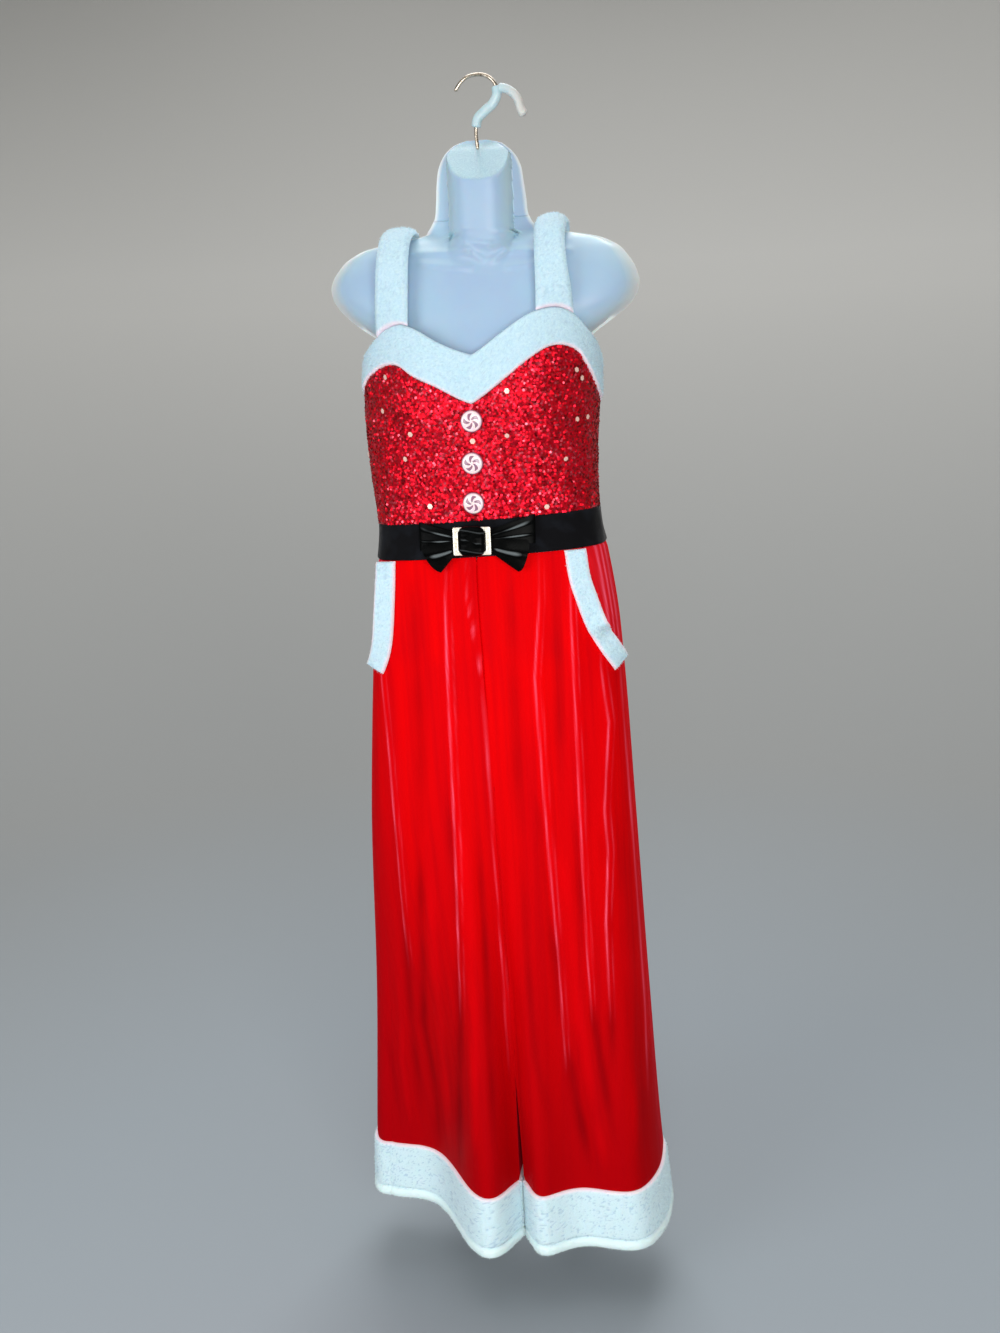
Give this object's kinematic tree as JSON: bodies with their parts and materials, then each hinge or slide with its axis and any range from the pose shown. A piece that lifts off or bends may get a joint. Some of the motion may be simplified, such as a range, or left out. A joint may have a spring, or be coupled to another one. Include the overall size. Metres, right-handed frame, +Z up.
{
  "type": "santa suit on a hanging dress form",
  "caption": "Sleeveless santa jumpsuit with sequin bodice, plush neckline, straps and cuffs, bow belt and wide velvet legs, on a hanging dress form.",
  "frame": {"origin": "the hook's seat: the lowest point of the underside of the wire's bend, where it rests on a rail", "axes": "+Z up along the suit, +X to the wearer's left, -Y out of the suit's front"},
  "size_m": [0.488, 0.2896, 1.6849],
  "materials": {
    "velvet_red": "short-pile stretch velvet with a pink sheen on its ridges",
    "sequin_red": "knit covered in small red sequins",
    "plush_white": "short white plush",
    "velvet_black": "matt black velvet",
    "satin_black": "black satin with a soft sheen",
    "buckle_metal": "plated pale gold",
    "button_white": "glossy, with a swirl of curved arms",
    "form_white": "frosted moulded plastic",
    "hook_chrome": "plated wire",
    "hook_coating": "smooth moulded sleeve"
  },
  "bodies": {
    "root": {"belt": "velvet_black", "bodice_back": "sequin_red", "bodice_front": "sequin_red", "bow_knot": "satin_black", "bow_loop_left": "satin_black", "bow_loop_right": "satin_black", "bow_tail_left": "satin_black", "bow_tail_right": "satin_black", "buckle": "buckle_metal", "button_1": "button_white", "button_2": "button_white", "button_3": "button_white", "cuff_left": "plush_white", "cuff_right": "plush_white", "form_shell": "form_white", "hook_arm": "hook_coating", "hook_sleeve": "hook_coating", "hook_wire": "hook_chrome", "leg_back_left": "velvet_red", "leg_back_right": "velvet_red", "leg_front_left": "velvet_red", "leg_front_right": "velvet_red", "neckline_band_back": "plush_white", "neckline_band_front": "plush_white", "pocket_side_left": "velvet_red", "pocket_side_right": "velvet_red", "pocket_trim_left": "plush_white", "pocket_trim_right": "plush_white", "strap_left": "plush_white", "strap_right": "plush_white"}
  },
  "joints": []
}
